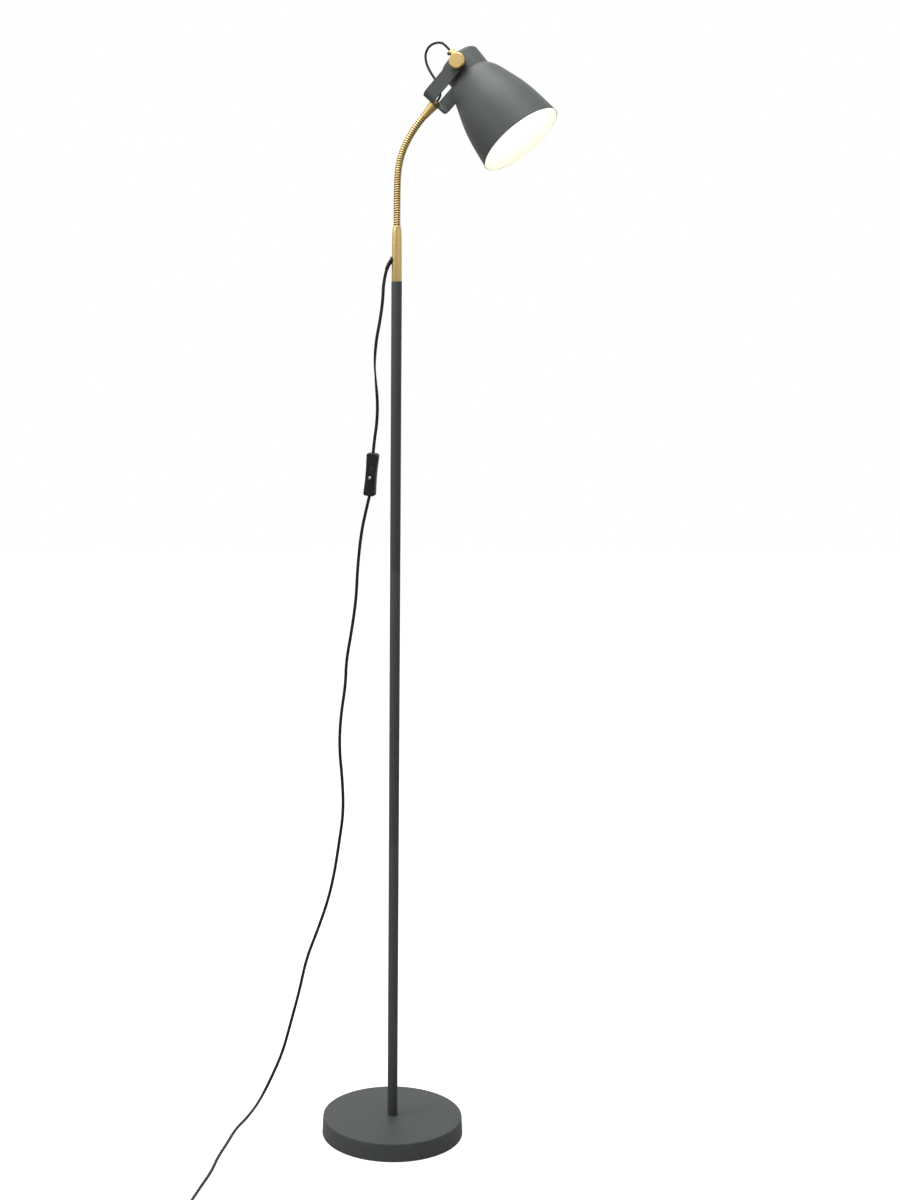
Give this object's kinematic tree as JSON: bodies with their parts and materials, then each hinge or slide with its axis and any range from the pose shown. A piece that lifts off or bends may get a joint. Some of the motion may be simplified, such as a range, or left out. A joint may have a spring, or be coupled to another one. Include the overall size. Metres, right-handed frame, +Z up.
{
  "type": "gooseneck reading floor lamp",
  "caption": "Floor lamp with a weighted round foot, slim pole, ribbed brass gooseneck, and a bell shade tilting in a yoke; its mains cord carries a rocker switch and a plug.",
  "frame": {"origin": "centre of the foot's pad on the floor", "axes": "+Z up along the pole, +X the side the shade leans to, -Y the front"},
  "size_m": [0.5078, 0.4437, 1.6001],
  "materials": {
    "grey_paint": "fine textured dark grey powder coat",
    "satin_brass": "satin",
    "steel": "zinc plated",
    "cast_weight": "rough cast",
    "pad_felt": "dense black felt",
    "dark_screw": "dark satin",
    "black_plastic": "satin",
    "white_mark": "gloss",
    "holder_plastic": "satin white",
    "cord_black": "satin flexible sheath",
    "lamp_metal": "bright",
    "lamp_white": "gloss",
    "lamp_glass": "opal"
  },
  "bodies": {
    "root": {"foot_cover": "grey_paint", "foot_weight": "cast_weight", "foot_pad": "pad_felt", "foot_washer": "steel", "foot_nut": "steel", "foot_stud": "steel", "pole_lower": "grey_paint", "pole_middle": "grey_paint", "pole_upper": "grey_paint", "pole_plugs": "steel", "pole_studs": "steel", "sleeve_nipple": "steel", "sleeve": "satin_brass", "cord_relief": "black_plastic", "neck_plug": "satin_brass", "neck_segment_1": "satin_brass", "neck_cable": "cord_black", "cord_upper": "cord_black", "switch_base": "black_plastic", "switch_cover": "black_plastic", "switch_screws": "steel", "switch_terminals": "satin_brass", "cord_lower": "cord_black", "cord_coil": "cord_black", "plug_body": "black_plastic", "plug_pins": "satin_brass"},
    "neck_2": {"neck_segment_2": "satin_brass"},
    "neck_3": {"neck_segment_3": "satin_brass"},
    "neck_4": {"neck_segment_4": "satin_brass"},
    "neck_5": {"neck_segment_5": "satin_brass"},
    "neck_6": {"neck_segment_6": "satin_brass"},
    "head": {"neck_segment_7": "satin_brass", "neck_ferrule": "satin_brass", "yoke": "grey_paint", "yoke_washer": "steel", "yoke_nut": "satin_brass", "yoke_nipple": "steel", "yoke_bush": "black_plastic", "pivot_inner_washers": "satin_brass", "pivot_outer_washers": "satin_brass"},
    "shade": {"shade": "grey_paint", "shade_weld_nuts": "steel", "grip": "satin_brass", "grip_screw": "dark_screw", "holder_nipple": "steel", "holder_locknut": "steel", "holder_cap": "holder_plastic", "holder_body": "holder_plastic", "holder_thread_shell": "satin_brass", "holder_centre_contact": "satin_brass", "lamp_cap": "lamp_metal", "lamp_collar": "lamp_white", "lamp_globe": "lamp_glass", "head_cable": "cord_black"},
    "knob_front": {"knob_front": "satin_brass", "pivot_screw_front": "steel"},
    "knob_back": {"knob_back": "satin_brass", "pivot_screw_back": "steel"},
    "rocker": {"rocker": "black_plastic", "rocker_dot": "white_mark"}
  },
  "joints": [
    {"name": "neck_bend_1", "type": "hinge", "parent": "root", "child": "neck_2", "pos_m": [0, 0, 1.37121], "axis": [0.1045, 0.9945, 0], "range_deg": [-14, 14], "deforming": ["neck_cable"]},
    {"name": "neck_sway_2", "type": "hinge", "parent": "neck_2", "child": "neck_3", "pos_m": [0.0001, -0.00001, 1.39382], "axis": [-0.9945, 0.1045, 0.0087], "range_deg": [-14, 14], "deforming": ["neck_cable"]},
    {"name": "neck_bend_3", "type": "hinge", "parent": "neck_3", "child": "neck_4", "pos_m": [0.00078, -0.00008, 1.41642], "axis": [0.1045, 0.9945, 0], "range_deg": [-14, 14], "deforming": ["neck_cable"]},
    {"name": "neck_bend_4", "type": "hinge", "parent": "neck_4", "child": "neck_5", "pos_m": [0.00401, -0.00042, 1.43876], "axis": [0.1045, 0.9945, 0], "range_deg": [-14, 14], "deforming": ["neck_cable"]},
    {"name": "neck_sway_5", "type": "hinge", "parent": "neck_5", "child": "neck_6", "pos_m": [0.0115, -0.00121, 1.46004], "axis": [-0.8976, 0.0943, 0.4305], "range_deg": [-14, 14], "deforming": ["neck_cable"]},
    {"name": "neck_bend_6", "type": "hinge", "parent": "neck_6", "child": "head", "pos_m": [0.02265, -0.00238, 1.47965], "axis": [0.1045, 0.9945, 0], "range_deg": [-14, 14], "deforming": ["neck_cable"]},
    {"name": "shade_tilt", "type": "hinge", "parent": "head", "child": "shade", "pos_m": [0.09237, -0.00971, 1.56188], "axis": [0.3079, 0.9337, -0.1827], "range_deg": [-60, 20], "deforming": ["head_cable"]},
    {"name": "knob_front_turn", "type": "hinge", "parent": "head", "child": "knob_front", "pos_m": [0.09237, -0.00971, 1.56188], "axis": [0.3079, 0.9337, -0.1827], "range_deg": [-180, 180]},
    {"name": "knob_back_turn", "type": "hinge", "parent": "head", "child": "knob_back", "pos_m": [0.09237, -0.00971, 1.56188], "axis": [0.3079, 0.9337, -0.1827], "range_deg": [-180, 180]},
    {"name": "switch_rocker", "type": "hinge", "parent": "root", "child": "rocker", "pos_m": [-0.03544, 0.00505, 1.00036], "axis": [0.9597, -0.2671, -0.0878], "range_deg": [0, 14]}
  ]
}
